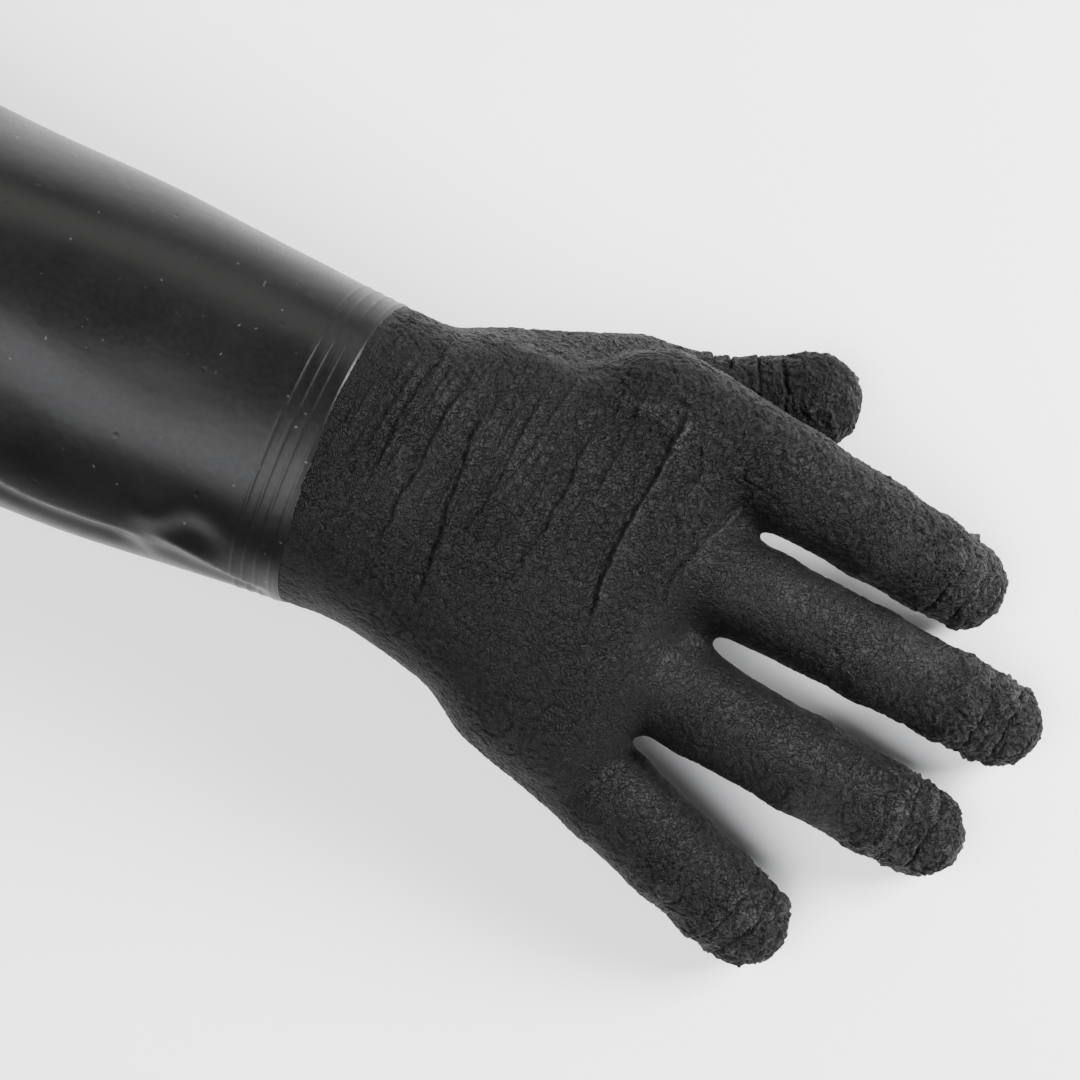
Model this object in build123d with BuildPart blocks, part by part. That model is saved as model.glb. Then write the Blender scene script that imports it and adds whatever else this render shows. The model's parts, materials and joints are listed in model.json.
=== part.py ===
"""Long-sleeved insulated rubber glove for the right hand, lying palm down.

The rubber is one flexible skin on the real glove. Here it is divided at the wrist, the knuckles
and the thumb into short rigid shells, each with a ball band nested in the shell before it, so
that the glove can bend. A knitted liner runs through every shell.

+X runs from the cuff to the fingertips, +Y to the thumb, +Z out of the back of the hand.
The origin is the bottom centre of the glove's bounding box, on the surface that it lies on.
"""
from build123d import *
from dataclasses import dataclass
from math import cos, radians, sin
import os

os.makedirs("parts", exist_ok=True)

# Walls and clearances, in millimetres
rubber_wall = 2.0
liner_gap = 0.1
liner_wall = 1.8
ball_wall = 1.2
ball_gap = 0.35
sweep_gap = 0.8
knuckle_gap = 0.15
overrun = 4.0

# Angles of the flexing knuckles, in degrees
spare_angle = 0.5
band_back_angle = 35.0
band_front_extra = 3.0

# How far the ring between a ball band and its shell reaches past the band's edge
web_back_reach = 0.5
web_front_reach = 1.0

# Sleeve, measured from the middle of the wrist rings
sleeve_length = 241.0
cuff_radius = 64.0
cuff_straight = 35.0
cuff_bore_length = 27.0
bead_height = 3.0
bead_width = 4.0
bead_round = 1.4
hem_wall = 3.0
hem_seat_depth = 0.6
hem_end_gap = 0.5
wrist_pivot_x = 20.0
wrist_half_y = 44.0
wrist_half_z = 36.0
wrist_height = 57.5
rib_height = 0.8
rib_width = 1.2
rib_places = (-9.0, -5.0, -1.0, 3.0)
cuff_height = cuff_radius + bead_height

# Sleeve's ellipses: x, middle y, middle z, half width, half height
sleeve_sections = [
    (cuff_straight - sleeve_length, 0, cuff_height, cuff_radius, cuff_radius),
    (-123.0, 0, 62.5, 53.0, 52.5),
    (-65.0, 0, 60.0, 50.3, 47.0),
    (-24.0, 0, 58.3, 46.9, 41.0),
    (0, 0, wrist_height, 44.8, 37.4),
    (wrist_pivot_x + overrun, 0, wrist_height, wrist_half_y, wrist_half_z),
]

# Palm's ellipses: x, middle y, middle z, half width, half height, and then its end
palm_sections = [
    (wrist_pivot_x - overrun, 0, wrist_height, wrist_half_y, wrist_half_z),
    (45.0, 0, 54.5, 49.0, 31.0),
    (75.0, -3.5, 52.0, 54.5, 25.0),
    (95.0, -3.0, 48.0, 53.5, 21.0),
]
palm_end = (106.0, 1.5, 45.5, 46.0, 18.0)

# Finger and thumb stubs of the palm
stub_length = 40.0
stub_pitch = 8.0
stub_flare = 1.0
thumb_stub_start = (35.0, 25.0, 45.0)
thumb_stub_radius = 20.0

# Ranges of the joints, in degrees: lowest, highest
wrist_range = (-30.0, 35.0)
knuckle_range = (-10.0, 50.0)
middle_range = (0.0, 55.0)
tip_range = (0.0, 33.0)
thumb_spread_range = (-12.0, 35.0)
thumb_bend_range = (0.0, 40.0)


@dataclass
class Finger:
    """One finger: its knuckle, the way it points, and its three links from knuckle to tip."""
    name: str
    knuckle_x: float
    knuckle_y: float
    heading: float
    lengths: tuple
    pitches: tuple
    radii: tuple


index = Finger(
    "index", 120.0, 41.0, -7.8,
    lengths=(27.0, 21.0, 15.5), pitches=(22.0, 33.0, 45.0), radii=(15.0, 14.2, 13.2, 12.2),
)
middle = Finger(
    "middle", 126.0, 7.5, -4.8,
    lengths=(34.0, 26.0, 20.0), pitches=(17.0, 26.0, 36.0), radii=(13.6, 13.3, 12.8, 12.0),
)
ring = Finger(
    "ring", 121.0, -26.5, -7.7,
    lengths=(32.0, 25.0, 19.0), pitches=(17.0, 26.0, 36.0), radii=(14.2, 13.9, 13.3, 12.5),
)
little = Finger(
    "little", 106.0, -59.5, -21.8,
    lengths=(24.0, 18.0, 14.0), pitches=(17.0, 27.0, 38.0), radii=(14.4, 14.0, 13.5, 13.0),
)
fingers = [index, middle, ring, little]
thumb_joint = (72.0, 50.0, 20.0)
thumb_bend = (92.5, 56.0, 15.5)
thumb_tip = (115.0, 65.0, 12.5)
thumb_radii = (14.6, 13.4, 12.5)


@dataclass
class Hinge:
    """One joint: rest is zero degrees, and a positive turn bends the link toward the palm."""
    pivot: Vector
    axis: Vector
    before: Vector
    after: Vector
    limits: tuple
    radius: float

    @property
    def middle(self):
        """The way halfway between the two links, square to the hinge axis."""
        way = self.before + self.after
        return (way - self.axis * way.dot(self.axis)).normalized()

    @property
    def ball_radius(self):
        return self.radius - rubber_wall - ball_gap

    @property
    def front_angle(self):
        return max(self.limits[1], -self.limits[0]) / 2 + band_front_extra

    @property
    def web_start(self):
        return (self.ball_radius - ball_wall) * sin(radians(self.front_angle)) - web_back_reach

    @property
    def web_end(self):
        return self.ball_radius * sin(radians(self.front_angle)) + web_front_reach

    def tilted(self, angle):
        """The halfway direction, turned about the hinge axis."""
        return self.middle.rotate(Axis((0, 0, 0), self.axis), angle)


@dataclass
class Link:
    """One rigid length of a finger, from its own pivot to the next one or to the tip's centre."""
    name: str
    hinge: Hinge
    way: Vector
    length: float
    near_radius: float
    far_radius: float
    next_hinge: Hinge = None

    @property
    def plane(self):
        return Plane(origin=self.hinge.pivot, x_dir=self.way, z_dir=across(self.way))

    @property
    def line(self):
        return Axis(self.hinge.pivot, self.way)

    def radius(self, along):
        return self.near_radius + (self.far_radius - self.near_radius) * along / self.length


def direction(heading, pitch):
    """A unit vector: heading turns toward the thumb, pitch drops toward the surface."""
    turn, drop = radians(heading), radians(pitch)
    return Vector(cos(turn) * cos(drop), sin(turn) * cos(drop), -sin(drop))


def across(way):
    """The level direction square to a link, toward the thumb side."""
    return Vector(-way.Y, way.X, 0).normalized()


# The bounding box is centred on the origin: the sleeve's end and the middle fingertip set its
# length, the thumb's and the little finger's tips its width.
def finger_reach(finger):
    """How far the tip's centre lies from the knuckle, seen from above."""
    return sum(length * cos(radians(pitch)) for length, pitch in zip(finger.lengths, finger.pitches))


middle_end = middle.knuckle_x + finger_reach(middle) * cos(radians(middle.heading)) + middle.radii[-1]
little_end = little.knuckle_y + finger_reach(little) * sin(radians(little.heading)) - little.radii[-1]
shift_x = (sleeve_length - middle_end) / 2
shift_y = -(thumb_tip[1] + thumb_radii[-1] + little_end) / 2


def place(x, y, z):
    """A point given from the middle of the wrist rings, moved to the glove's own frame."""
    return Vector(x + shift_x, y + shift_y, z)


def finger_links(finger):
    """The three links of one finger, with the fingertip resting on the surface."""
    ways = [direction(finger.heading, pitch) for pitch in finger.pitches]
    height = finger.radii[-1] + sum(-way.Z * length for way, length in zip(ways, finger.lengths))
    pivot = place(finger.knuckle_x, finger.knuckle_y, height)
    before = direction(finger.heading, stub_pitch)
    links = []
    for step, part_name in enumerate(("base", "middle", "tip")):
        limits = (knuckle_range, middle_range, tip_range)[step]
        way, radius = ways[step], finger.radii[step]
        hinge = Hinge(pivot, across(way), before, way, limits, radius)
        name = f"{finger.name}_{part_name}"
        links.append(Link(name, hinge, way, finger.lengths[step], radius, finger.radii[step + 1]))
        if step:
            links[step - 1].next_hinge = hinge
        pivot = pivot + way * finger.lengths[step]
        before = way
    return links


def thumb_links():
    """The two links of the thumb: the first swings sideways, the second bends."""
    start, joint = place(*thumb_stub_start), place(*thumb_joint)
    bend, tip = place(*thumb_bend), place(*thumb_tip)
    ways = [(end - begin).normalized() for begin, end in ((start, joint), (joint, bend), (bend, tip))]
    spread = Hinge(joint, Vector(0, 0, 1), ways[0], ways[1], thumb_spread_range, thumb_radii[0])
    flex = Hinge(bend, across(ways[2]), ways[1], ways[2], thumb_bend_range, thumb_radii[1])
    base = Link("thumb_base", spread, ways[1], (bend - joint).length, thumb_radii[0], thumb_radii[1], flex)
    end = Link("thumb_tip", flex, ways[2], (tip - bend).length, thumb_radii[1], thumb_radii[2])
    return [base, end]


def trim_before(hinge):
    """Cuts the open part's end to a ridge on the hinge axis, leaving room for the bend."""
    for angle in (hinge.limits[1] / 2 + spare_angle, hinge.limits[0] / 2 - spare_angle):
        normal = hinge.tilted(angle)
        split(bisect_by=Plane(origin=hinge.pivot - normal * knuckle_gap, z_dir=normal), keep=Keep.BOTTOM)


def trim_after(hinge):
    """Cuts the open part's start to a ridge on the hinge axis, leaving room for the bend."""
    for angle in (-hinge.limits[1] / 2 - spare_angle, -hinge.limits[0] / 2 + spare_angle):
        normal = hinge.tilted(angle)
        split(bisect_by=Plane(origin=hinge.pivot + normal * knuckle_gap, z_dir=normal), keep=Keep.TOP)


def link_wall(link, start, inner, outer):
    """The tapered wall of a link between two insets, closed by a dome where it is a tip."""
    finish = link.length + (overrun if link.next_hinge else 0)
    near_in, near_out = link.radius(start) - inner, link.radius(start) - outer
    far_in, far_out = link.radius(finish) - inner, link.radius(finish) - outer
    with BuildSketch(link.plane) as section:
        with BuildLine():
            Line((start, near_in), (start, near_out))
            Line((start, near_out), (finish, far_out))
            Line((start, near_in), (finish, far_in))
            if link.next_hinge:
                Line((finish, far_in), (finish, far_out))
            else:
                RadiusArc((finish, far_out), (finish + far_out, 0), far_out)
                RadiusArc((finish, far_in), (finish + far_in, 0), far_in)
                Line((finish + far_in, 0), (finish + far_out, 0))
        make_face()
    return section.sketch


def ball_band(link):
    """The section of the band that nests in the shell before this link."""
    ball, inside = link.hinge.ball_radius, link.hinge.ball_radius - ball_wall
    back, front = 90 + band_back_angle, 90 - link.hinge.front_angle
    with BuildSketch(link.plane) as section:
        with BuildLine():
            outer = CenterArc((0, 0), ball, front, back - front)
            inner = CenterArc((0, 0), inside, front, back - front)
            Line(outer @ 0, inner @ 0)
            Line(outer @ 1, inner @ 1)
        make_face()
    return section.sketch


def web_ring(link):
    """The section of the ring that joins the ball band to the link's wall."""
    hinge = link.hinge
    low = (hinge.ball_radius - ball_wall) * cos(radians(hinge.front_angle))
    high = link.radius(hinge.web_end) - rubber_wall / 2
    width, height = hinge.web_end - hinge.web_start, high - low
    with BuildSketch(link.plane) as section:
        with Locations(((hinge.web_start + hinge.web_end) / 2, (low + high) / 2)):
            Rectangle(width, height)
    return section.sketch


def link_shell(link):
    """The rubber of one finger link, with its ball band."""
    with BuildPart() as shell:
        revolve(link_wall(link, -overrun, rubber_wall, 0), axis=link.line)
        revolve(web_ring(link), axis=link.line)
        trim_after(link.hinge)
        if link.next_hinge:
            trim_before(link.next_hinge)
        revolve(ball_band(link), axis=link.line)
    return shell.part


def link_liner(link):
    """The knitted liner inside one finger link."""
    outside = rubber_wall + liner_gap
    with BuildPart() as liner:
        section = link_wall(link, link.hinge.web_end + liner_gap, outside + liner_wall, outside)
        revolve(section, axis=link.line)
        trim_after(link.hinge)
        if link.next_hinge:
            trim_before(link.next_hinge)
            with Locations(link.next_hinge.pivot):
                Sphere(link.next_hinge.ball_radius + sweep_gap, mode=Mode.SUBTRACT)
    return liner.part


def loft_through(sections, inset):
    """A lofted solid through upright ellipses: x, middle y, middle z, half width, half height."""
    with BuildPart() as body:
        for x, y, z, half_y, half_z in sections:
            with BuildSketch(Plane(origin=place(x, y, z), x_dir=(0, 1, 0), z_dir=(1, 0, 0))):
                Ellipse(half_y - inset, half_z - inset)
        loft()
    return body.part


def stub(start, hinge, start_radius, inset, trimmed):
    """The short cone of the palm that leads to a knuckle: trimmed for the bend, or run through."""
    way = hinge.pivot - start
    length = way.length + overrun
    slope = (hinge.radius - start_radius) / way.length
    end_radius = start_radius + slope * length
    plane = Plane(origin=start, x_dir=way.normalized(), z_dir=across(way))
    corners = [(0, 0), (length, 0), (length, end_radius - inset), (0, start_radius - inset)]
    with BuildPart() as cone:
        with BuildSketch(plane):
            with BuildLine():
                Polyline(*corners, close=True)
            make_face()
        revolve(axis=Axis(start, way))
        if trimmed:
            trim_before(hinge)
    return cone.part


wrist_hinge = Hinge(
    place(wrist_pivot_x, 0, wrist_height), Vector(0, 1, 0), Vector(1, 0, 0), Vector(1, 0, 0),
    wrist_range, wrist_half_z,
)
finger_chains = [finger_links(finger) for finger in fingers]
thumb_chain = thumb_links()
all_links = [link for chain in finger_chains for link in chain] + thumb_chain


def palm_volume(inset, trimmed):
    """The palm with its five stubs, as one solid at the given inset from the outside."""
    end_x, *end_ellipse = palm_end
    bulk = loft_through(palm_sections + [(end_x - inset, *end_ellipse)], inset)
    stubs = [stub(place(*thumb_stub_start), thumb_chain[0].hinge, thumb_stub_radius, inset, trimmed)]
    for finger, chain in zip(fingers, finger_chains):
        start = chain[0].hinge.pivot - direction(finger.heading, stub_pitch) * stub_length
        stubs.append(stub(start, chain[0].hinge, finger.radii[0] + stub_flare, inset, trimmed))
    with BuildPart() as volume:
        add(bulk)
        for cone in stubs:
            add(cone)
    return volume.part


def wrist_ball(inset):
    """The wrist's ball: a solid of revolution about the hinge axis, as wide as the wrist."""
    radius, half_width = wrist_hinge.ball_radius - inset, wrist_half_y - rubber_wall - ball_gap - inset
    with BuildPart() as ball:
        with BuildSketch(Plane.XY.move(Location(wrist_hinge.pivot))):
            Ellipse(radius, half_width)
            with Locations((-radius, 0)):
                Rectangle(2 * radius, 3 * half_width, mode=Mode.SUBTRACT)
        revolve(axis=Axis(wrist_hinge.pivot, wrist_hinge.axis))
    return ball.part


def slab(start, finish):
    """A block that holds everything between two distances from the wrist's hinge axis."""
    near_face = Plane(origin=wrist_hinge.pivot + Vector(start, 0, 0), x_dir=(0, 1, 0), z_dir=(1, 0, 0))
    with BuildPart() as block:
        with BuildSketch(near_face):
            Rectangle(3 * wrist_half_y, 3 * wrist_half_z)
        extrude(amount=finish - start)
    return block.part


# Palm: its shell carries the wrist's ball band inside the sleeve
palm_outside = palm_volume(0, True)
palm_cavity = palm_volume(rubber_wall, False)
web_cavity = palm_volume(rubber_wall / 2, False)
ball_outside, ball_inside = wrist_ball(0), wrist_ball(ball_wall)
band_slab = slab(-wrist_hinge.ball_radius * sin(radians(band_back_angle)), wrist_hinge.web_end)
web_slab = slab(wrist_hinge.web_start, wrist_hinge.web_end)

with BuildPart() as wrist_web:
    add(web_slab)
    add(web_cavity, mode=Mode.INTERSECT)
    add(ball_inside, mode=Mode.SUBTRACT)

with BuildPart() as wrist_band:
    add(ball_outside)
    add(ball_inside, mode=Mode.SUBTRACT)
    add(band_slab, mode=Mode.INTERSECT)

with BuildPart() as hand_shell:
    add(palm_outside)
    add(palm_cavity, mode=Mode.SUBTRACT)
    add(wrist_web.part)
    trim_after(wrist_hinge)
    add(wrist_band.part)

# Palm liner: from the wrist's web to the knuckles' ball bands
liner_outside = palm_volume(rubber_wall + liner_gap, True)
liner_cavity = palm_volume(rubber_wall + liner_gap + liner_wall, False)
wrist_clearance = slab(-2 * wrist_half_y, wrist_hinge.web_end + liner_gap)
with BuildPart() as hand_liner:
    add(liner_outside)
    add(liner_cavity, mode=Mode.SUBTRACT)
    add(wrist_clearance, mode=Mode.SUBTRACT)
    for chain in finger_chains + [thumb_chain]:
        with Locations(chain[0].hinge.pivot):
            Sphere(chain[0].hinge.ball_radius + sweep_gap, mode=Mode.SUBTRACT)

# Sleeve: a straight round cuff with a shallow seat for the liner's hem, then a taper to the wrist
hem_seat_radius = cuff_radius - rubber_wall + hem_seat_depth
cuff_face = Plane(origin=place(-sleeve_length, 0, cuff_height), x_dir=(0, 1, 0), z_dir=(1, 0, 0))


def rib_ring(x):
    """A raised ring round the sleeve's outline, between the two sections that x lies between."""
    before = max(section for section in sleeve_sections if section[0] <= x)
    after = min(section for section in sleeve_sections if section[0] > x)
    share = (x - before[0]) / (after[0] - before[0])
    y, z, half_y, half_z = (low + (high - low) * share for low, high in zip(before[1:], after[1:]))
    with BuildPart() as rib:
        with BuildSketch(Plane(origin=place(x, y, z), x_dir=(0, 1, 0), z_dir=(1, 0, 0))):
            Ellipse(half_y + rib_height, half_z + rib_height)
        extrude(amount=rib_width)
    return rib.part


ribs = [rib_ring(x) for x in rib_places]
sleeve_outside = loft_through(sleeve_sections, 0)
sleeve_cavity = loft_through(sleeve_sections, rubber_wall)
with BuildPart() as sleeve_shell:
    add(sleeve_outside)
    for rib in ribs:
        add(rib)
    add(sleeve_cavity, mode=Mode.SUBTRACT)
    trim_before(wrist_hinge)
    with BuildSketch(cuff_face):
        Circle(cuff_radius)
        Circle(cuff_radius - rubber_wall, mode=Mode.SUBTRACT)
    extrude(amount=cuff_straight)
    with BuildSketch(cuff_face.offset(cuff_bore_length)):
        Circle(hem_seat_radius)
    extrude(amount=cuff_straight - cuff_bore_length, mode=Mode.SUBTRACT)

sleeve_liner_outside = loft_through(sleeve_sections, rubber_wall + liner_gap)
sleeve_liner_cavity = loft_through(sleeve_sections, rubber_wall + liner_gap + liner_wall)
wrist_sweep = wrist_ball(-sweep_gap)
with BuildPart() as sleeve_liner:
    add(sleeve_liner_outside)
    add(sleeve_liner_cavity, mode=Mode.SUBTRACT)
    trim_before(wrist_hinge)
    add(wrist_sweep, mode=Mode.SUBTRACT)

# Hem of the liner, stitched round its open end behind the bare cuff
hem_radius = hem_seat_radius - liner_gap
hem_start = cuff_bore_length + hem_end_gap
with BuildPart() as liner_hem:
    with BuildSketch(cuff_face.offset(hem_start)):
        Circle(hem_radius)
        Circle(hem_radius - hem_wall, mode=Mode.SUBTRACT)
    extrude(amount=cuff_straight - hem_start)

# Rolled bead round the mouth of the cuff
with BuildPart() as cuff_bead:
    with BuildSketch(cuff_face):
        Circle(cuff_radius + bead_height)
        Circle(cuff_radius, mode=Mode.SUBTRACT)
    extrude(amount=bead_width)
    fillet(cuff_bead.edges().filter_by(GeomType.CIRCLE).group_by(SortBy.RADIUS)[-1], bead_round)

finished = {
    "sleeve_shell": sleeve_shell.part,
    "sleeve_liner": sleeve_liner.part,
    "liner_hem": liner_hem.part,
    "cuff_bead": cuff_bead.part,
    "hand_shell": hand_shell.part,
    "hand_liner": hand_liner.part,
}
for link in all_links:
    finished[f"{link.name}_shell"] = link_shell(link)
    finished[f"{link.name}_liner"] = link_liner(link)

for name, piece in finished.items():
    piece.label = name
    export_step(piece, f"parts/{name}.step")
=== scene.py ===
import json
import math

import bpy
import numpy as np
import openvdb
from mathutils import Matrix, Vector

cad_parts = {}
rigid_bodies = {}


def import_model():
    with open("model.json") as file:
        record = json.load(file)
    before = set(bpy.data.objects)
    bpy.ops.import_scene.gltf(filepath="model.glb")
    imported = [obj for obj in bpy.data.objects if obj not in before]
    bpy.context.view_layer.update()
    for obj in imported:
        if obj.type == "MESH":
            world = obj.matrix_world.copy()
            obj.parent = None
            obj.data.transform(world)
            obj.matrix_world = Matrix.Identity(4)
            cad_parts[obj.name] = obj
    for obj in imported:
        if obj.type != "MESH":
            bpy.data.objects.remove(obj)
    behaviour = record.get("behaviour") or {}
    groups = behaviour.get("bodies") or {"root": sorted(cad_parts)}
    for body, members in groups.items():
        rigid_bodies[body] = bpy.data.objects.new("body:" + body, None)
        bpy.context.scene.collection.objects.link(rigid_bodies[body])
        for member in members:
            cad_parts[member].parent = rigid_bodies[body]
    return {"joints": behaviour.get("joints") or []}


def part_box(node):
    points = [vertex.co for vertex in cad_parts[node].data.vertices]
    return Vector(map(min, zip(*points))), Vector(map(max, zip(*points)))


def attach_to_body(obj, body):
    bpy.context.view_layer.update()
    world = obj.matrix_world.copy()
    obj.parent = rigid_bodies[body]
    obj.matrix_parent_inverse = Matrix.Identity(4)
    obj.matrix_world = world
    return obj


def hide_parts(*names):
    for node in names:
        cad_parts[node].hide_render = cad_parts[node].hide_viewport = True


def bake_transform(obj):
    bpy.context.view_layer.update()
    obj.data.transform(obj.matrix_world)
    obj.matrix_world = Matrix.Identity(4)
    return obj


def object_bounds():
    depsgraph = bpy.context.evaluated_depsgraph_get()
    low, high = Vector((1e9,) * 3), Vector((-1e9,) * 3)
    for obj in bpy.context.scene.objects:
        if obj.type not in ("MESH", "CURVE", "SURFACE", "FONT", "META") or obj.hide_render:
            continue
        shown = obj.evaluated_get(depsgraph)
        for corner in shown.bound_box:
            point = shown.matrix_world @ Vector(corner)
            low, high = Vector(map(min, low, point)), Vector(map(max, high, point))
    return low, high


# A long-sleeved rubber glove for the right hand, lying palm down. The hand is one dipped skin with
# a matte crinkled finish, the sleeve is smooth and half glossy, and a knitted liner runs inside.
# Lengths in this file are millimetres along the frame's axes. A mesh is made in metres.

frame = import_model()
cad_low, cad_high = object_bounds()

joints = {joint["name"]: joint for joint in frame["joints"]}
rng = np.random.default_rng(7)

# The glove's own coordinates: x from the rings at the wrist towards the fingers, y from the arm's
# middle towards the thumb, z up from the floor.
WRIST_PIVOT_X = 20.0
RUBBER = 2.0
LINER_GAP = 0.1
LINER = 1.8
VOXEL = 0.52
LINER_VOXEL = 2.6

SLEEVE_END = -241.0
CUFF_STRAIGHT = 35.0
SKIN_START = 1.0
SLEEVE_FINISH = 4.4
WRIST_SPLIT = 45.0
LINER_START = WRIST_PIVOT_X - 16.0
RING_PLACES = (-8.6, -5.2, -1.8, 2.2)

# Cross-sections of the arm and the palm: x, middle y, middle z, half width, half height.
WRIST_SECTIONS = [
    (-24.0, 0.0, 58.3, 46.9, 41.0),
    (0.0, 0.0, 57.5, 44.8, 37.4),
]
SLEEVE_SECTIONS = np.array([
    (SLEEVE_END, 0.0, 67.0, 64.0, 64.0),
    (SLEEVE_END + CUFF_STRAIGHT, 0.0, 67.0, 64.0, 64.0),
    (-123.0, 0.0, 62.5, 53.0, 52.5),
    (-65.0, 0.0, 60.0, 50.3, 47.0),
    *WRIST_SECTIONS,
    (24.0, 0.0, 57.5, 44.0, 36.0),
])
PALM_SECTIONS = np.array([
    *WRIST_SECTIONS,
    (20.0, 0.0, 57.5, 44.0, 36.0),
    (45.0, 0.0, 54.5, 49.0, 31.0),
    (75.0, -3.5, 52.0, 54.5, 25.0),
    (95.0, -3.0, 48.0, 53.5, 21.0),
    (108.0, 1.5, 45.5, 46.0, 18.0),
])
SQUARENESS = 2.25
STUB_LENGTH = 40.0
STUB_PITCH = math.radians(8.0)
THUMB_START = np.array((35.0, 25.0, 45.0))
THUMB_START_RADIUS = 20.0
# The thumb's rubber is fuller than its moving core, and its end is a bulb.
FULL_THUMB = (15.0, 13.0, 14.0)
FULL_THUMB_SHIFT = np.array((-1.2, 0.6, 1.5))
# The ball of the thumb: its two ends and its radius at each.
THENAR = (np.array((38.0, 34.0, 42.0)), np.array((66.0, 45.5, 27.0)), (15.0, 15.2))
# Where the web to the finger before ends, along x, and how softly it begins.
WEBS = {"middle": (106.0, 128.0, 14.0), "ring": (110.0, 132.0, 15.0), "little": (94.0, 111.0, 12.0)}
FINGER_RADII = {
    "index": (15.0, 14.2, 13.2, 12.2),
    "middle": (13.6, 13.3, 12.8, 12.0),
    "ring": (14.2, 13.9, 13.3, 12.5),
    "little": (14.4, 14.0, 13.5, 13.0),
    "thumb": (14.6, 13.0, 12.5),
}
FINGER_JOINTS = {
    name: (f"{name}_knuckle", f"{name}_middle_bend", f"{name}_tip_bend")
    for name in ("index", "middle", "ring", "little")
}
FINGER_JOINTS["thumb"] = ("thumb_spread", "thumb_bend")


def millimetres(point):
    return np.array(point, float) * 1000.0


def pivot(name):
    return millimetres(joints[name]["pos_m"])


ORIGIN = pivot("wrist_bend") * (1, 1, 0) - (WRIST_PIVOT_X, 0, 0)


# ---------------------------------------------------------------- numbers

def smooth_step(low, high, value):
    share = np.clip((value - low) / (high - low), 0, 1)
    return share * share * (3 - 2 * share)


def curve_through(places, values, at):
    """A smooth curve through (place, value) points, level with its neighbours' slope."""
    slope = np.gradient(values, places)
    index = np.clip(np.searchsorted(places, at) - 1, 0, len(places) - 2)
    width = places[index + 1] - places[index]
    t = np.clip((at - places[index]) / width, 0, 1)
    low, high = values[index], values[index + 1]
    return (
        (1 + 2 * t) * (1 - t) ** 2 * low + t * t * (3 - 2 * t) * high
        + width * (t * (1 - t) ** 2 * slope[index] - t * t * (1 - t) * slope[index + 1])
    )


def section_at(sections, x):
    return [curve_through(sections[:, 0], sections[:, column], x) for column in range(1, 5)]


NOISE_TABLE = rng.permutation(256)
NOISE_TABLE = np.concatenate([NOISE_TABLE, NOISE_TABLE, NOISE_TABLE]).astype(np.int32)
NOISE_WAYS = rng.normal(size=(256, 3))
NOISE_WAYS = (NOISE_WAYS / np.linalg.norm(NOISE_WAYS, axis=1)[:, None]).astype(np.float32)


def noise(points, size, seed=0):
    """Gradient noise from about -1 to 1, with features of the given size in millimetres."""
    p = (points / size + seed * 17.31).astype(np.float32)
    cell = np.floor(p).astype(np.int32)
    part = p - cell
    ease = part * part * part * (part * (part * 6 - 15) + 10)
    total = np.zeros(len(p), np.float32)
    for dx in (0, 1):
        for dy in (0, 1):
            for dz in (0, 1):
                corner = NOISE_TABLE[(cell[:, 0] + dx) & 255]
                corner = NOISE_TABLE[(corner + cell[:, 1] + dy) & 255]
                corner = NOISE_TABLE[(corner + cell[:, 2] + dz) & 255]
                away = part - np.array((dx, dy, dz), np.float32)
                weight = (
                    (ease[:, 0] if dx else 1 - ease[:, 0])
                    * (ease[:, 1] if dy else 1 - ease[:, 1])
                    * (ease[:, 2] if dz else 1 - ease[:, 2])
                )
                total += weight * np.einsum("ij,ij->i", NOISE_WAYS[corner], away)
    return total * 1.6


def layered(points, size, layers, seed=0):
    """Noise on noise: each layer is half the size and half the height of the one before."""
    return sum(noise(points, size / 2 ** n, seed + n) / 2 ** n for n in range(layers))


def furrows(points, size, width, seed=0):
    """Flat tops parted by thin winding furrows, from 0 in a furrow to 1 on a top."""
    return smooth_step(0.0, width, np.abs(noise(points, size, seed)))


# ---------------------------------------------------------------- the hand's shape

def cone_distance(points, start, end, start_radius, end_radius):
    way = end - start
    share = np.clip((points - start) @ way / (way @ way), 0, 1)
    nearest = start + share[:, None] * way
    return np.linalg.norm(points - nearest, axis=1) - start_radius - (end_radius - start_radius) * share


def melt(first, second, reach):
    """The smooth union of two distances."""
    share = np.clip(0.5 + 0.5 * (second - first) / reach, 0, 1)
    return second + (first - second) * share - reach * share * (1 - share)


def palm_distance(points):
    x = points[:, 0] - ORIGIN[0]
    mid_y, mid_z, half_y, half_z = section_at(PALM_SECTIONS, x)
    y = (points[:, 1] - ORIGIN[1] - mid_y) / half_y
    z = (points[:, 2] - mid_z) / half_z
    reach = (np.abs(y) ** SQUARENESS + np.abs(z) ** SQUARENESS) ** (1 / SQUARENESS) + 1e-6
    steep = np.sqrt((y / half_y) ** 2 + (z / half_z) ** 2) + 1e-6
    side = reach * (reach - 1) / steep
    side = np.where(reach < 0.5, np.minimum(side, -5.0), side)
    beyond = x - PALM_SECTIONS[-1, 0]
    return -melt(-side, -beyond, 10.0)


def heading(joint_name):
    """The level direction that a bending joint's finger points in."""
    axis = joints[joint_name]["axis"]
    return np.array((axis[1], -axis[0], 0.0))


def tip_centre(node, joint_name, radius):
    """The centre of the dome at the end of a finger."""
    low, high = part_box(node)
    way, start = heading(joint_name), pivot(joint_name)
    x = high.x * 1000 - radius
    return np.array((x, start[1] + (x - start[0]) * way[1] / way[0], low.z * 1000 + radius))


# How softly one link of a digit runs into the next.
LINK_MELT = 2.0


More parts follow.
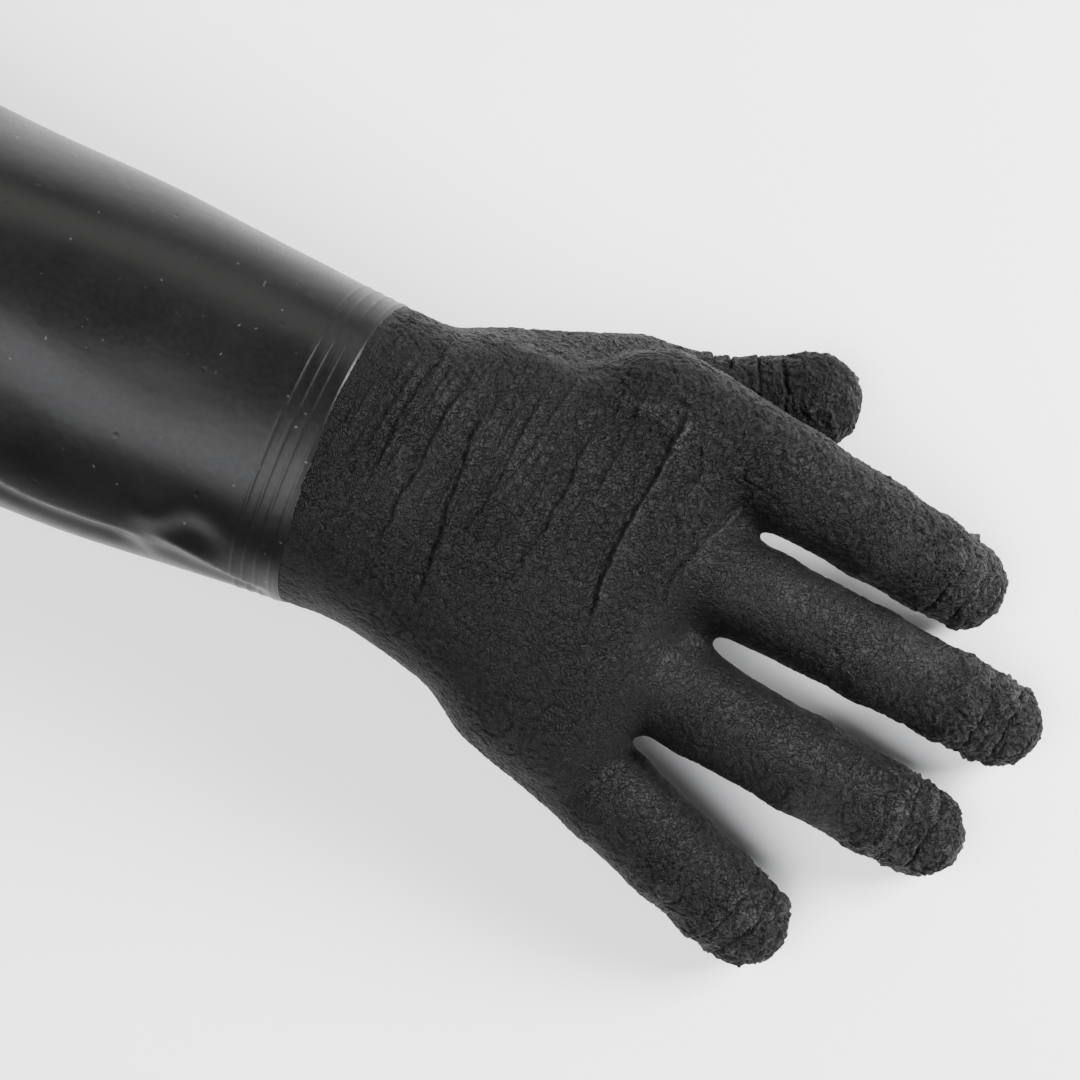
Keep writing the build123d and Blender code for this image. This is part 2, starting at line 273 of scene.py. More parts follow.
class Digit:
    """A finger or the thumb: the points its bones run through and the bodies they ride on."""

    def __init__(self, name):
        names = FINGER_JOINTS[name]
        self.name, self.radii, self.joints = name, FINGER_RADII[name], names
        self.bodies = [joints[names[0]]["parent"]] + [joints[joint]["child"] for joint in names]
        tip = tip_centre(f"{self.bodies[-1]}_shell", names[-1], self.radii[-1])
        self.points = [pivot(joint) for joint in names] + [tip]
        if name == "thumb":
            self.radii = FULL_THUMB
            tip += FULL_THUMB_SHIFT
            self.start, self.start_radius = ORIGIN + THUMB_START, THUMB_START_RADIUS
        else:
            level = heading(names[0]) * math.cos(STUB_PITCH)
            self.start = self.points[0] - STUB_LENGTH * (level - (0, 0, math.sin(STUB_PITCH)))
            self.start_radius = self.radii[0] + 1.0

    def way(self, link):
        step = self.points[link + 1] - self.points[link]
        return step / np.linalg.norm(step)

    def length(self, link):
        return np.linalg.norm(self.points[link + 1] - self.points[link])

    def distance(self, points):
        found = cone_distance(points, self.start, self.points[0], self.start_radius, self.radii[0])
        for link in range(len(self.joints)):
            piece = cone_distance(
                points, self.points[link], self.points[link + 1], self.radii[link], self.radii[link + 1]
            )
            found = melt(found, piece, LINK_MELT)
        return found


digits = {name: Digit(name) for name in FINGER_JOINTS}
fingers = [digit for name, digit in digits.items() if name != "thumb"]
thumb = digits["thumb"]


def glove_distance(points):
    """How far points lie outside the hand's smooth outer surface."""
    x = points[:, 0] - ORIGIN[0]
    found = fingers[0].distance(points)
    for finger in fingers[1:]:
        low, high, reach = WEBS[finger.name]
        found = melt(found, finger.distance(points), reach - (reach - 2.0) * smooth_step(low, high, x))
    found = melt(found, palm_distance(points), 13.0 - 9.0 * smooth_step(92.0, 112.0, x))
    heel = cone_distance(points, ORIGIN + THENAR[0], ORIGIN + THENAR[1], *THENAR[2])
    found = melt(found, heel, 14.0)
    web = 12.0 - 10.5 * smooth_step(62.0, 78.0, x)
    return melt(found, thumb.distance(points), web)


def outward(points, step=0.25):
    """The unit direction in which the distance grows."""
    ways = np.empty_like(points)
    for axis in range(3):
        ahead, behind = points.copy(), points.copy()
        ahead[:, axis] += step
        behind[:, axis] -= step
        ways[:, axis] = glove_distance(ahead) - glove_distance(behind)
    return ways / np.linalg.norm(ways, axis=1)[:, None]


def doubled(values):
    """A grid with a new value halfway between each two neighbours."""
    for axis in range(3):
        values = np.moveaxis(values, axis, 0)
        finer = np.empty((2 * len(values) - 1,) + values.shape[1:], np.float32)
        finer[0::2] = values
        finer[1::2] = (values[1:] + values[:-1]) / 2
        values = np.moveaxis(finer, 0, axis)
    return values


# How far the grid that the skin is found on reaches past the glove.
GRID_MARGIN = 6.0
GRID_END_MARGIN = 4.0
GRID_TOP = 105.0


def surface_at(level, voxel):
    """Points and four-sided faces of the surface at a distance from the hand's outer surface."""
    low = np.array((ORIGIN[0] - GRID_END_MARGIN, millimetres(cad_low)[1] - GRID_MARGIN, -GRID_END_MARGIN))
    high = millimetres(cad_high) + GRID_MARGIN
    high[2] = GRID_TOP
    counts = np.ceil((high - low) / (2 * voxel)).astype(int) + 1
    axes = [low[axis] + 2 * voxel * np.arange(counts[axis]) for axis in range(3)]
    coarse = np.empty(counts, np.float32)
    for index, x in enumerate(axes[0]):
        y, z = np.meshgrid(axes[1], axes[2], indexing="ij")
        slice_points = np.stack([np.full(y.size, x), y.ravel(), z.ravel()], axis=1)
        coarse[index] = glove_distance(slice_points).reshape(y.shape)
    grid = openvdb.FloatGrid(background=3 * voxel)
    grid.copyFromArray(np.ascontiguousarray(np.clip(doubled(coarse) - level, -3 * voxel, 3 * voxel)))
    points, quads = grid.convertToQuads(0.0)
    points = points.astype(float) * voxel + low
    # The grid's own end, across the wrist, isn't part of the surface.
    clear_of_end = points[:, 0] > low[0] + 2 * voxel
    quads = quads[clear_of_end[quads].all(axis=1)]
    for _ in range(2):
        ways = outward(points)
        points -= ways * (glove_distance(points) - level)[:, None]
    corner = points[quads[:, :3].astype(int)]
    facing = np.cross(corner[:, 1] - corner[:, 0], corner[:, 2] - corner[:, 0])
    if np.einsum("ij,ij->i", facing, ways[quads[:, 0].astype(int)]).sum() < 0:
        quads = quads[:, ::-1]
    return points, quads.astype(np.int64), ways


# ---------------------------------------------------------------- the crinkled finish

def local(points):
    """The points in the glove's own coordinates."""
    return points - ORIGIN


def reach_along(points, digit):
    """How far along a digit each point lies, from its first joint."""
    along = np.full(len(points), -1e3)
    before = 0.0
    for link in range(len(digit.joints)):
        here = (points - digit.points[link]) @ digit.way(link)
        along = np.where(here > 0, np.maximum(along, before + here), along)
        before += digit.length(link)
    first = (points - digit.points[0]) @ digit.way(0)
    return np.where(along < 0, np.minimum(first, 0), along)


CREASES = [
    # height of the lip, depth of the crack at its foot, length of the slope behind it, line in x and y
    (1.25, 0.55, 3.6, [(88.8, 46.0), (88.6, 34.0), (87.4, 21.5), (86.1, 3.0), (86.5, -16.0)]),
    (1.0, 0.5, 3.0, [(113.0, 32.0), (107.5, 19.0), (103.8, 7.3), (103.0, -4.0)]),
    (0.5, 0.3, 2.6, [(96.0, 44.0), (97.5, 30.0), (95.0, 18.0)]),
    (0.35, 0.9, 1.6, [(40.1, 23.0), (41.8, 4.0), (43.0, -27.0)]),
    (0.6, 0.5, 2.2, [(52.0, 34.0), (51.0, 12.0), (48.5, -8.0)]),
    (0.5, 0.4, 2.4, [(70.0, 40.0), (68.0, 22.0), (67.0, 2.0), (64.0, -12.0)]),
    (0.6, 0.4, 2.0, [(33.0, 32.0), (31.0, 6.0), (29.0, -18.0)]),
    (0.45, 0.4, 1.8, [(76.5, 46.0), (77.0, 31.0), (75.0, 12.0)]),
    (0.6, 0.5, 2.0, [(24.5, 38.0), (22.0, 20.0), (20.5, -2.0)]),
]


def crest(ahead, slope, drop):
    """A height of 1 at the crest, with a long slope ahead of it and a short drop behind it."""
    return np.where(ahead > 0, np.exp(-ahead / slope), np.exp(ahead / drop))


def lip_and_crack(ahead, lip, crack, width):
    """A fold's cross-section: a long slope up to a lip, then a sheer drop with a crack at its foot."""
    return lip * crest(ahead, width, 0.3) - crack * np.exp(-((ahead + 0.7) / 0.42) ** 2)


def line_lips(points, facing_up):
    """The long folded creases across the back of the hand."""
    own = local(points)
    x = own[:, 0] + 1.1 * layered(points, 11.0, 3, 31)
    y = own[:, 1]
    height = np.zeros(len(points))
    for lip, crack, width, line in CREASES:
        line = np.array(line)[::-1]
        middle = curve_through(line[:, 1], line[:, 0], y)
        ends = smooth_step(line[0, 1] - 4, line[0, 1] + 6, y)
        ends *= 1 - smooth_step(line[-1, 1] - 6, line[-1, 1] + 4, y)
        height += ends * lip_and_crack(x - middle, lip, crack, width)
    return height * facing_up


def cross_wrinkles(points, facing_up):
    """Long thin raised lines across the arm, broken up and thickest on the thumb's side."""
    own = local(points)
    bent = own[:, 0] - 0.1 * own[:, 1] + 1.2 * noise(points, 24.0, 41) + 0.3 * noise(points, 5.0, 42)
    height = np.zeros(len(points))
    for spacing, tall, seed in ((4.6, 0.75, 43), (7.3, 0.85, 44), (2.7, 0.5, 45)):
        place = bent / spacing + seed * 0.37
        row = np.floor(place)
        off = (place - row - 0.5) * spacing
        along = np.stack([row * 9.17, own[:, 1] / 24.0, own[:, 2] / 60.0], axis=1)
        shown = smooth_step(-0.05, 0.3, noise(along, 1.0, seed))
        height += tall * shown * lip_and_crack(off, 1.0, 0.15, 0.8)
    side = 0.2 + 0.8 * smooth_step(-28.0, 20.0, own[:, 1])
    span = smooth_step(3.0, 8.0, own[:, 0]) * (1 - 0.8 * smooth_step(58.0, 84.0, own[:, 0]))
    span *= 1 - smooth_step(100.0, 118.0, own[:, 0])
    return height * facing_up * side * span


# Places along a digit from its first joint, or back from its end for the fingertips, with depths.
THUMB_CREASES = ((14.5, 1.0), (21.5, 1.7), (29.5, 0.9), (37.0, 1.3))
FINGERTIP_FOLDS = ((6.5, 1.0), (15.5, 1.7), (24.0, 0.8))


def digit_creases(points, reach, places):
    """Deep creases right across a digit, each with a lip that hangs over it."""
    bent = reach + 1.4 * layered(points, 9.0, 3, 55)
    broken = 0.35 + 0.65 * smooth_step(-0.35, 0.15, noise(points, 10.0, 56))
    return broken * sum(lip_and_crack(place - bent, 0.6 * deep, deep, 2.6) for place, deep in places)


def tip_folds(points, reach, total, size):
    """Folded lips of rubber that gather towards a digit's end."""
    bent = reach + 2.2 * layered(points, 8.0, 3, 51)
    place = bent / size
    part = place - np.floor(place)
    lip = np.where(part < 0.9, part / 0.9, (1 - part) / 0.1)
    broken = smooth_step(-0.1, 0.3, layered(points, 7.0, 2, 52))
    near_end = smooth_step(0.4 * total, 0.9 * total, reach)
    return lip * broken * near_end


def crinkle(points, ways):
    """The height of the finish over the smooth skin, and how rough it is, from 0 to 1."""
    own = local(points)
    facing_up = smooth_step(-0.1, 0.45, ways[:, 2])
    warp = np.stack([noise(points, 5.0, 61), noise(points, 5.0, 62), noise(points, 5.0, 63)], axis=1)
    bent = points + 1.5 * warp

    rough = 0.42 + 0.3 * layered(points, 30.0, 2, 64)
    rough += 0.55 * np.exp(-((own[:, 0] - 97.0) / 18.0) ** 2 - ((own[:, 1] - 26.0) / 26.0) ** 2)
    rough += 0.3 * smooth_step(22.0, 44.0, own[:, 1]) + 0.12 * smooth_step(105.0, 140.0, own[:, 0])
    # The webs between the fingers are smoother.
    rough -= 0.3 * np.exp(-((own[:, 0] - 116.0) / 13.0) ** 2 - ((own[:, 1] + 12.0) / 30.0) ** 2)

    height = np.zeros(len(points))
    for digit in digits.values():
        total = sum(digit.length(link) for link in range(len(digit.joints))) + digit.radii[-1]
        near = np.exp(-np.maximum(digit.distance(points), 0) / 1.5)
        reach = reach_along(points, digit) * near
        rough += 0.5 * near * smooth_step(0.35 * total, 0.85 * total, reach)
        if digit.name == "thumb":
            size, tall, creases = 6.5, 0.75, THUMB_CREASES
        else:
            size, tall, creases = 5.2, 0.8, [(total - back, deep) for back, deep in FINGERTIP_FOLDS]
        height += tall * near * tip_folds(points, reach, total, size)
        height += near * digit_creases(points, reach, creases)
    rough = np.clip(rough, 0.22, 1.25)

    edge = 45.5 - 3.5 * (own[:, 0] - 24.0) / 62.0
    ridge = np.exp(-((own[:, 1] - edge) / 2.4) ** 2) * smooth_step(16.0, 34.0, own[:, 0])
    height += 0.6 * ridge * (1 - smooth_step(78.0, 92.0, own[:, 0])) * smooth_step(0.05, 0.3, ways[:, 2])

    grain = 0.4 * furrows(bent, 3.2, 0.3, 65) + 0.28 * furrows(bent, 1.8, 0.35, 66)
    grain += 0.14 * noise(bent, 1.1, 67)
    flakes = 0.45 * furrows(bent, 8.0, 0.12, 68) * np.clip(rough, 0.3, 1)
    swells = 0.3 * layered(points, 22.0, 2, 69)
    knots = np.clip(noise(bent, 2.8, 70) - 0.6, 0, 1) * 3.4 * smooth_step(0.6, 1.0, rough)
    height += rough * (grain - 0.5) + flakes - 0.3 + swells + knots
    height += line_lips(points, facing_up) + cross_wrinkles(points, facing_up)
    start = smooth_step(SKIN_START, 10.0, own[:, 0])
    return height * (0.2 + 0.8 * start) - 0.3 * (1 - start), rough


# ---------------------------------------------------------------- meshes

def make_object(name, points, faces, materials, attributes=None, face_slots=None, normals=None):
    mesh = bpy.data.meshes.new(name)
    mesh.vertices.add(len(points))
    mesh.vertices.foreach_set("co", (points / 1000.0).astype(np.float32).ravel())
    mesh.loops.add(faces.size)
    mesh.loops.foreach_set("vertex_index", faces.astype(np.int32).ravel())
    mesh.polygons.add(len(faces))
    mesh.polygons.foreach_set("loop_start", np.arange(0, faces.size, faces.shape[1], dtype=np.int32))
    mesh.update(calc_edges=True)
    mesh.validate()
    mesh.shade_smooth()
    for key, values in (attributes or {}).items():
        stored = mesh.attributes.new(key, "FLOAT", "POINT")
        stored.data.foreach_set("value", np.asarray(values, np.float32))
    for material in materials:
        mesh.materials.append(material)
    if face_slots is not None:
        mesh.polygons.foreach_set("material_index", face_slots.astype(np.int32))
    if normals is not None:
        mesh.normals_split_custom_set_from_vertices(normals.tolist())
    piece = bpy.data.objects.new(name, mesh)
    bpy.context.scene.collection.objects.link(piece)
    return piece


def closed_wall(outer, inner, quads):
    """A wall with an outer and an inner surface of the same faces, closed along its rims."""
    count = len(outer)
    edges = quads[:, [0, 1, 1, 2, 2, 3, 3, 0]].reshape(-1, 2)
    forward = edges[:, 0] * count + edges[:, 1]
    backward = edges[:, 1] * count + edges[:, 0]
    rim = edges[~np.isin(forward, backward)]
    rim_faces = np.stack([rim[:, 1], rim[:, 0], rim[:, 0] + count, rim[:, 1] + count], axis=1)
    return np.concatenate([outer, inner]), np.concatenate([quads, quads[:, ::-1] + count, rim_faces])


def vertex_normals(points, quads):
    corner = points[quads]
    facing = np.cross(corner[:, 2] - corner[:, 0], corner[:, 3] - corner[:, 1])
    total = np.zeros_like(points)
    for index in range(4):
        np.add.at(total, quads[:, index], facing)
    return total / np.linalg.norm(total, axis=1)[:, None]


# Where the skin is divided along a digit's first link and its later ones, as shares of the link, and where
# its first piece starts.
SPLIT_BASE = 0.62
SPLIT_MIDDLE = 0.5
SPLIT_START = 1.0
JOIN_MARGIN = 1.2
# How far from a digit's own tapered shape the skin still belongs to it. The side of the palm lies close over
# the thumb's end, which claims only its own skin.
DIGIT_CLAIM = 6.0
THUMB_END_CLAIM = 0.5


def split_reach(digit, link):
    """How far along a link the skin is divided, so that each piece spans one joint only."""
    return digit.length(link) * (SPLIT_BASE if link == 0 else SPLIT_MIDDLE)


def skin_regions(points):
    """The names of the skin's pieces, and for each point the index of the piece that it belongs to."""
    names = ["palm", "wrist"]
    owner = np.zeros(len(points), int)
    owner[points[:, 0] - ORIGIN[0] < WRIST_SPLIT] = 1
    distances = np.stack([digit.distance(points) for digit in digits.values()])
    nearest = distances.argmin(axis=0)
    for index, digit in enumerate(digits.values()):
        along = (points - digit.points[0]) @ digit.way(0)
        mine = (nearest == index) & (distances[index] < DIGIT_CLAIM) & (along > SPLIT_START)
        if digit.name == "thumb":
            mine &= (along < split_reach(digit, 0)) | (distances[index] < THUMB_END_CLAIM)
        for link, body in enumerate(digit.bodies[1:]):
            names.append(body)
            owner[mine] = len(names) - 1
            if link + 1 < len(digit.joints):
                mine = mine & ((points - digit.points[link]) @ digit.way(link) > split_reach(digit, link))
    return names, owner


def blend_digit_piece(piece, digit, link):
    """Finds where the piece's stretch over the digit's joint at the start of this link would begin and end,
    and bakes the piece's transform; the piece is not made to bend.
    """
    if link:
        start = digit.points[link - 1] + digit.way(link - 1) * (split_reach(digit, link - 1) + JOIN_MARGIN)
    else:
        start = digit.points[0] + digit.way(0) * SPLIT_START
    if link + 1 < len(digit.joints):
        reach = split_reach(digit, link) - JOIN_MARGIN
    else:
        reach = digit.length(link) * 0.6
    end = digit.points[link] + digit.way(link) * reach
    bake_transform(piece)


def attach(piece, region):
    """Joins a palm piece to the hand's body; the wrist's and the digits' skin and liner pieces only have
    their transforms baked.
    """
    if region == "palm":
        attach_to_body(piece, "hand")
        return
    if region == "wrist":
        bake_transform(piece)
        return
    for digit in digits.values():
        if region in digit.bodies[1:]:
            blend_digit_piece(piece, digit, digit.bodies.index(region) - 1)


def hand_layer(kind, level, voxel, wall, start, material, finish=None):
    """One layer of the hand, divided into closed pieces that meet edge to edge."""
    points, quads, ways = surface_at(level, voxel)
    keep = points[quads].mean(axis=1)[:, 0] - ORIGIN[0] > start
    quads = quads[keep]
    attributes = {}
    outer = points
    if finish:
        height, rough = finish(points, ways)
        outer = points + ways * height[:, None]
        outer[:, 2] = pressed(outer[:, 2])
        attributes = {"relief": height, "roughened": rough}
    inner = points - ways * wall
    normals = vertex_normals(outer, quads)
    names, owner = skin_regions(points[quads].mean(axis=1))
    for index, region in enumerate(names):
        mine = quads[owner == index]
        used, compact = np.unique(mine, return_inverse=True)
        compact = compact.reshape(mine.shape)
        shell, faces = closed_wall(outer[used], inner[used], compact)
        stored = {key: np.concatenate([values[used], values[used]]) for key, values in attributes.items()}
        facing = np.concatenate([normals[used], -ways[used]])
        piece = make_object(f"{region}_{kind}", shell, faces, [material], stored, normals=facing)
        attach(piece, region)
        if region != "wrist":
            node = {"skin": "shell", "liner": "liner"}[kind]
            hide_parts(f"{'hand' if region == 'palm' else region}_{node}")


def pressed(z):
    """Heights with whatever would pass the floor pressed flat against it."""
    return (z + np.sqrt(z * z + 0.4 ** 2)) / 2


def tube_faces(rows, columns):
    """Four-sided faces of a tube of points, whose rows run round it."""
    index = np.arange(rows * columns).reshape(rows, columns)
    here, beside = index[:-1], np.roll(index, -1, axis=1)[:-1]
    ahead, across = index[1:], np.roll(index, -1, axis=1)[1:]
    return np.stack([here, ahead, across, beside], axis=-1).reshape(-1, 4)


def oval_ring(sections, x, angle, inset):
    """Points round the arm at x, with the angle from the top towards the thumb's side."""
    mid_y, mid_z, half_y, half_z = section_at(sections, x)
    power = 2.0 + (SQUARENESS - 2.0) * smooth_step(-120.0, 0.0, x)
    sine, cosine = np.sin(angle), np.cos(angle)
    reach = ((np.abs(sine) ** power) + (np.abs(cosine) ** power)) ** (-1 / power)
    y = mid_y + (half_y - inset) * sine * reach
    z = mid_z + (half_z - inset) * cosine * reach
    return np.stack([x + ORIGIN[0], y + ORIGIN[1], z], axis=-1)


def bump(value, middle, width):
    return np.exp(-((value - middle) / width) ** 2)


def turn_from(angle, middle):
    """The signed difference of two angles."""
    return (angle - middle + math.pi) % (2 * math.pi) - math.pi


# The sleeve's long fold: places along x, and its angle from the top towards the thumb.
FOLD_LINE = np.array([
    (-215.0, -1.1), (-150.0, -1.0), (-84.0, -0.9), (-50.0, -1.02), (-38.0, -1.03), (-20.0, -1.1),
])
RING_HEIGHT = 0.2
RING_WIDTH = 0.5
RING_LEAN = 0.9


def long_fold(x, angle):
    """A long sharp fold on the little finger's side, with a hollow under it."""
    fold = np.interp(x, FOLD_LINE[:, 0], FOLD_LINE[:, 1]) + 0.03 * np.sin(x / 9.0)
    off = turn_from(angle, fold)
    along = smooth_step(-215.0, -170.0, x) * (1 - smooth_step(-46.0, -30.0, x))
    return along * (1.5 * crest(off, 0.16, 0.045) - 2.4 * bump(off, -0.16, 0.11))


def wrist_dent(x, angle):
    """The dent that the long fold ends in, the swelling beside it, and the short fold to the rings."""
    dent = 2.2 * bump(x, -22.0, 9.0) * bump(turn_from(angle, -0.86), 0, 0.16)
    swelling = 1.2 * bump(x, -31.0, 6.5) * bump(turn_from(angle, -0.8), 0, 0.13)
    off = turn_from(angle, np.interp(x, (-34.0, -8.0, 4.0), (-0.95, -1.13, -1.2)))
    along = smooth_step(-36.0, -26.0, x) * (1 - smooth_step(-6.0, 3.0, x))
    return swelling - dent + along * (0.9 * crest(off, 0.12, 0.05) - 1.2 * bump(off, -0.14, 0.1))


def wrist_rings(x, angle):
    """The raised rings, and the step down to the sleeve's last edge."""
    lean = RING_LEAN * np.sin(angle + 0.6)
    rings = sum(RING_HEIGHT * bump(x, place + lean, RING_WIDTH) for place in RING_PLACES)
    return rings - 0.25 * smooth_step(3.2, SLEEVE_FINISH, x)


def sleeve_relief(points, x, angle):
    """The height of the sleeve's swells, folds, rings and specks over its smooth taper."""
    loose = smooth_step(-SLEEVE_END - 10, -SLEEVE_END - 60, -x) * (1 - smooth_step(-40.0, -8.0, x))
    swells = 1.1 * layered(points * (0.5, 1, 1), 48.0, 2, 81) * (0.25 + 0.75 * loose)
    specks = np.clip(noise(points, 2.2, 82) - 0.78, 0, 1) * 1.6
    return swells + long_fold(x, angle) + wrist_dent(x, angle) + wrist_rings(x, angle) + specks


# The rows of the sleeve's mesh are closest together from here to the wrist, where the rings are.
FINE_ROWS_START = -14.0
RIM_ANGLE = math.radians(50)


def sleeve_grid(x, columns):
    """The smooth taper as a grid: each point's x, angle, place and outward direction, and the faces."""
    angle = np.linspace(0, 2 * math.pi, columns, endpoint=False)
    x_grid, angle_grid = np.meshgrid(x, angle, indexing="ij")
    flat_x, flat_angle = x_grid.ravel(), angle_grid.ravel()
    smooth = oval_ring(SLEEVE_SECTIONS, flat_x, flat_angle, 0.0)
    faces = tube_faces(len(x), columns)
    ways = vertex_normals(smooth, faces)
    towards_outside = smooth - oval_ring(SLEEVE_SECTIONS, flat_x, flat_angle, 5.0)
    if np.einsum("ij,ij->i", ways, towards_outside).sum() < 0:
        faces, ways = faces[:, ::-1], -ways
    return flat_x, flat_angle, smooth, ways, faces


def sleeve_piece(name, outer, inner, faces, material, node):
    points, closed = closed_wall(outer, inner, faces)
    piece = make_object(name, points, closed, [material])
    piece.data.set_sharp_from_angle(angle=RIM_ANGLE)
    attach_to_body(piece, "sleeve")
    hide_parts(node)


def build_sleeve(material):
    """The smooth rubber sleeve, from the cuff to the last ring over the wrist."""
    far = np.arange(SLEEVE_END + 1.0, FINE_ROWS_START, 1.5)
    near = np.arange(FINE_ROWS_START, SLEEVE_FINISH, 0.32)
    rows = np.concatenate([[SLEEVE_END], far, near, [SLEEVE_FINISH]])
    x, angle, smooth, ways, faces = sleeve_grid(rows, 300)
    height = sleeve_relief(smooth, x, angle)
    thickness = RUBBER * (1 - 0.55 * smooth_step(SLEEVE_FINISH - 3.0, SLEEVE_FINISH, x))
    outer = smooth + ways * height[:, None]
    inner = outer - ways * thickness[:, None]
    sleeve_piece("sleeve_skin", outer, inner, faces, material, "sleeve_shell")


def build_sleeve_liner(material):
    """The knitted liner that shows inside the cuff."""
    rows = np.arange(SLEEVE_END + CUFF_STRAIGHT, LINER_START, 2.0)
    x, angle, smooth, ways, faces = sleeve_grid(rows, 200)
    relief = sleeve_relief(smooth, np.minimum(x, FINE_ROWS_START), angle)
    height = np.minimum(relief, 0.4) - RUBBER - LINER_GAP
    outer = smooth + ways * height[:, None]
    ripple = 0.5 + 0.5 * layered(outer, 14.0, 2, 91)
    inner = outer - ways * (LINER + 0.8 * ripple)[:, None]
    sleeve_piece("sleeve_liner_knit", outer, inner, faces, material, "sleeve_liner")


def round_cuff(along, out, angle):
    """A place at a distance from the cuff's axis, with the angle from the top towards the thumb's side."""
    return ORIGIN[0] + along, ORIGIN[1] + out * np.sin(angle), SLEEVE_SECTIONS[0, 2] + out * np.cos(angle)


def ring_piece(name, x, radius, profile, wobble, material, node):
    """A ring round the cuff's axis, from a closed profile of (along, outward) points."""
    columns = 320
    angle = np.linspace(0, 2 * math.pi, columns, endpoint=False)
    along = x + profile[:, 0][:, None] + 0 * angle[None]
    out = radius + profile[:, 1][:, None] + wobble(angle)[None]
    points = np.stack(round_cuff(along, out, angle), axis=-1).reshape(-1, 3)
    faces = tube_faces(len(profile) + 1, columns) % len(points)
    piece = make_object(name, points, faces[:, ::-1], [material])
    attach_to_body(piece, "sleeve")
    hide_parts(node)


HEM_HALF_THICKNESS = 1.3
STITCHES = 150
STITCH_ROWS = ((-2.1, 0.0), (2.1, 0.5))
STITCH_REACH = 0.36
STITCH_RADIUS = 0.26
STITCH_SINK = 2.95
STITCH_BULGE = 0.25


def build_stitches(middle_x, hem_radius, thread):
    """Two staggered rows of short thread stitches along the hem's inner face."""
    pitch = 2 * math.pi / STITCHES
    sides, rings = 6, 7
    points, faces = [], []
    for index in range(STITCHES):
        for row, shift in STITCH_ROWS:
            base = len(points)
            for share in np.linspace(-1, 1, rings):
                angle = (index + shift + share * STITCH_REACH) * pitch
                lift = hem_radius - STITCH_SINK - STITCH_BULGE * (1 - share * share)
                radius = STITCH_RADIUS * math.sqrt(max(1 - share ** 4, 0.04))
                for side in range(sides):
                    around = 2 * math.pi * side / sides
                    out = lift + radius * math.cos(around)
                    points.append(round_cuff(middle_x + row + radius * math.sin(around), out, angle))
            for ring in range(rings - 1):
                for side in range(sides):
                    here, beside = base + ring * sides + side, base + ring * sides + (side + 1) % sides
                    faces.append((here, beside, beside + sides, here + sides))
    piece = make_object("hem_stitches", np.array(points), np.array(faces), [thread])
    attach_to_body(piece, "sleeve")


def build_cuff(rubber, tape, thread):
    """The rolled bead round the sleeve's mouth, and the liner's bound hem with its stitches."""
    cuff_radius = SLEEVE_SECTIONS[0, 3]
    turn = np.linspace(0, 2 * math.pi, 20, endpoint=False)
    roll = np.stack([2.2 + 2.0 * np.cos(turn), 0.75 + 1.9 * np.sin(turn)], axis=1)
    ring_piece(
        "rolled_cuff_bead", SLEEVE_END, cuff_radius, roll,
        lambda angle: 0.12 * np.sin(5 * angle + 1) + 0.07 * np.sin(17 * angle),
        rubber, "cuff_bead",
    )
    hem_low, hem_high = (millimetres(corner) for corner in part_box("liner_hem"))
    hem_middle, hem_length = (hem_low[0] + hem_high[0]) / 2 - ORIGIN[0], hem_high[0] - hem_low[0]
    hem_radius = (hem_high[2] - hem_low[2]) / 2 - 0.15
    soft = np.stack([np.cos(turn), np.sin(turn)], axis=1)
    soft = np.sign(soft) * np.abs(soft) ** 0.6 * (hem_length / 2, HEM_HALF_THICKNESS) + (0.0, -1.45)
    ring_piece(
        "bound_liner_hem", hem_middle, hem_radius, soft,
        lambda angle: 0.08 * np.sin(61 * angle) + 0.06 * np.sin(23 * angle + 2) - 0.1,
        tape, "liner_hem",
    )
    build_stitches(hem_middle, hem_radius, thread)


# ---------------------------------------------------------------- materials

